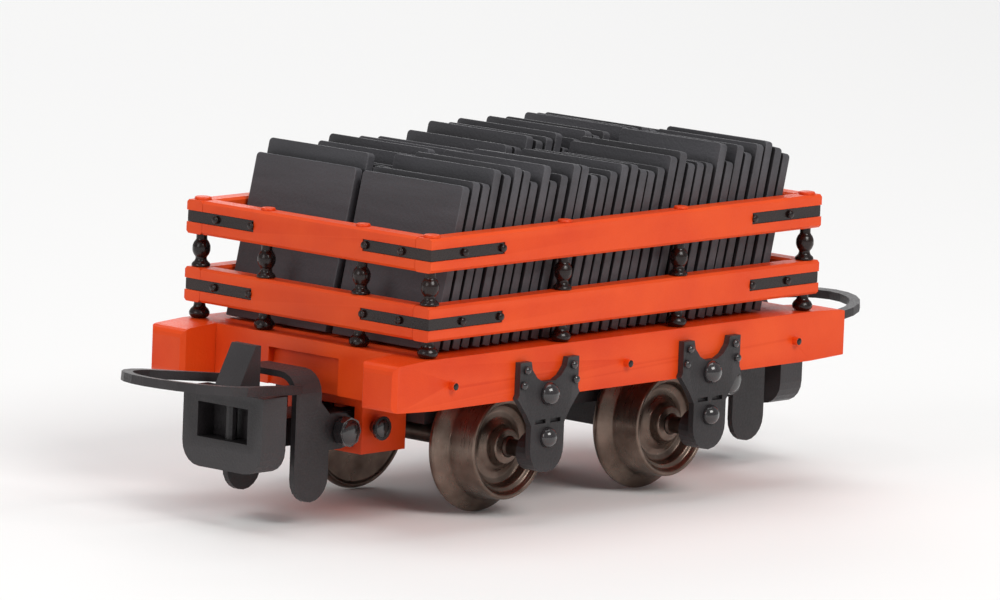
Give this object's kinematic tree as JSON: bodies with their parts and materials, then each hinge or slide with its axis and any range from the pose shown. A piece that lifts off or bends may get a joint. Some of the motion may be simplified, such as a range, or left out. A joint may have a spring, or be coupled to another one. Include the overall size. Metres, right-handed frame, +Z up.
{
  "type": "model slate wagon",
  "caption": "Narrow-gauge model wagon: slatted cage on turned posts holding rows of slates, hung axleguards, hook-and-loop couplers that swing and lift.",
  "frame": {"origin": "midway between the axles on the centre line, level with the bottom of the wheel flanges", "axes": "+X along the track towards the rear, +Y to the left side, +Z up"},
  "size_m": [0.049, 0.0174, 0.0169],
  "materials": {
    "orange_plastic": "satin moulded",
    "brown_plastic": "semi-gloss",
    "black_plastic": "satin moulded",
    "slate_plastic": "dry, faintly layered",
    "wheel_metal": "turned, darkened",
    "axle_metal": "darkened"
  },
  "bodies": {
    "wagon": {"solebar_left": "orange_plastic", "solebar_right": "orange_plastic", "headstock_front": "orange_plastic", "headstock_rear": "orange_plastic", "deck": "orange_plastic", "underframe_block": "black_plastic", "side_board_left_lower": "orange_plastic", "side_board_right_lower": "orange_plastic", "end_board_front_lower": "orange_plastic", "end_board_rear_lower": "orange_plastic", "corner_strap_front_left_lower": "brown_plastic", "corner_strap_front_right_lower": "brown_plastic", "corner_strap_rear_left_lower": "brown_plastic", "corner_strap_rear_right_lower": "brown_plastic", "side_board_left_upper": "orange_plastic", "side_board_right_upper": "orange_plastic", "end_board_front_upper": "orange_plastic", "end_board_rear_upper": "orange_plastic", "corner_strap_front_left_upper": "brown_plastic", "corner_strap_front_right_upper": "brown_plastic", "corner_strap_rear_left_upper": "brown_plastic", "corner_strap_rear_right_upper": "brown_plastic", "stanchion_corner_front_left": "brown_plastic", "stanchion_side_front_left": "brown_plastic", "stanchion_end_front_left": "brown_plastic", "axleguard_front_left": "black_plastic", "stanchion_corner_front_right": "brown_plastic", "stanchion_side_front_right": "brown_plastic", "stanchion_end_front_right": "brown_plastic", "axleguard_front_right": "black_plastic", "coupler_pocket_front": "orange_plastic", "pocket_peg_front_left": "black_plastic", "pocket_peg_front_right": "black_plastic", "stanchion_corner_rear_left": "brown_plastic", "stanchion_side_rear_left": "brown_plastic", "stanchion_end_rear_left": "brown_plastic", "axleguard_rear_left": "black_plastic", "stanchion_corner_rear_right": "brown_plastic", "stanchion_side_rear_right": "brown_plastic", "stanchion_end_rear_right": "brown_plastic", "axleguard_rear_right": "black_plastic", "coupler_pocket_rear": "orange_plastic", "pocket_peg_rear_left": "black_plastic", "pocket_peg_rear_right": "black_plastic"},
    "wheelset_front": {"axle_front": "axle_metal", "wheel_front_left": "wheel_metal", "wheel_front_right": "wheel_metal"},
    "coupler_front": {"drawhead_front": "black_plastic", "loop_pin_front": "black_plastic"},
    "loop_front": {"coupling_loop_front": "black_plastic"},
    "wheelset_rear": {"axle_rear": "axle_metal", "wheel_rear_left": "wheel_metal", "wheel_rear_right": "wheel_metal"},
    "coupler_rear": {"drawhead_rear": "black_plastic", "loop_pin_rear": "black_plastic"},
    "loop_rear": {"coupling_loop_rear": "black_plastic"},
    "load": {"slate_row_left": "slate_plastic", "slate_row_right": "slate_plastic"}
  },
  "joints": [
    {"name": "wheelset_front_roll", "type": "hinge", "parent": "wagon", "child": "wheelset_front", "pos_m": [-0.00575, 0, 0.00335], "axis": [0, 1, 0], "continuous": true},
    {"name": "wheelset_rear_roll", "type": "hinge", "parent": "wagon", "child": "wheelset_rear", "pos_m": [0.00575, 0, 0.00335], "axis": [0, 1, 0], "continuous": true},
    {"name": "coupler_front_swing", "type": "hinge", "parent": "wagon", "child": "coupler_front", "pos_m": [-0.011, 0, 0.00435], "axis": [0, 0, 1], "range_deg": [-8, 8]},
    {"name": "loop_front_lift", "type": "hinge", "parent": "coupler_front", "child": "loop_front", "pos_m": [-0.0135, 0, 0.00435], "axis": [0, 1, 0], "range_deg": [0, 10]},
    {"name": "coupler_rear_swing", "type": "hinge", "parent": "wagon", "child": "coupler_rear", "pos_m": [0.011, 0, 0.00435], "axis": [0, 0, 1], "range_deg": [-8, 8]},
    {"name": "loop_rear_lift", "type": "hinge", "parent": "coupler_rear", "child": "loop_rear", "pos_m": [0.0135, 0, 0.00435], "axis": [0, -1, 0], "range_deg": [0, 10]},
    {"name": "load_lift", "type": "slide", "parent": "wagon", "child": "load", "axis": [0, 0, 1], "range_m": [0, 0.012]}
  ]
}
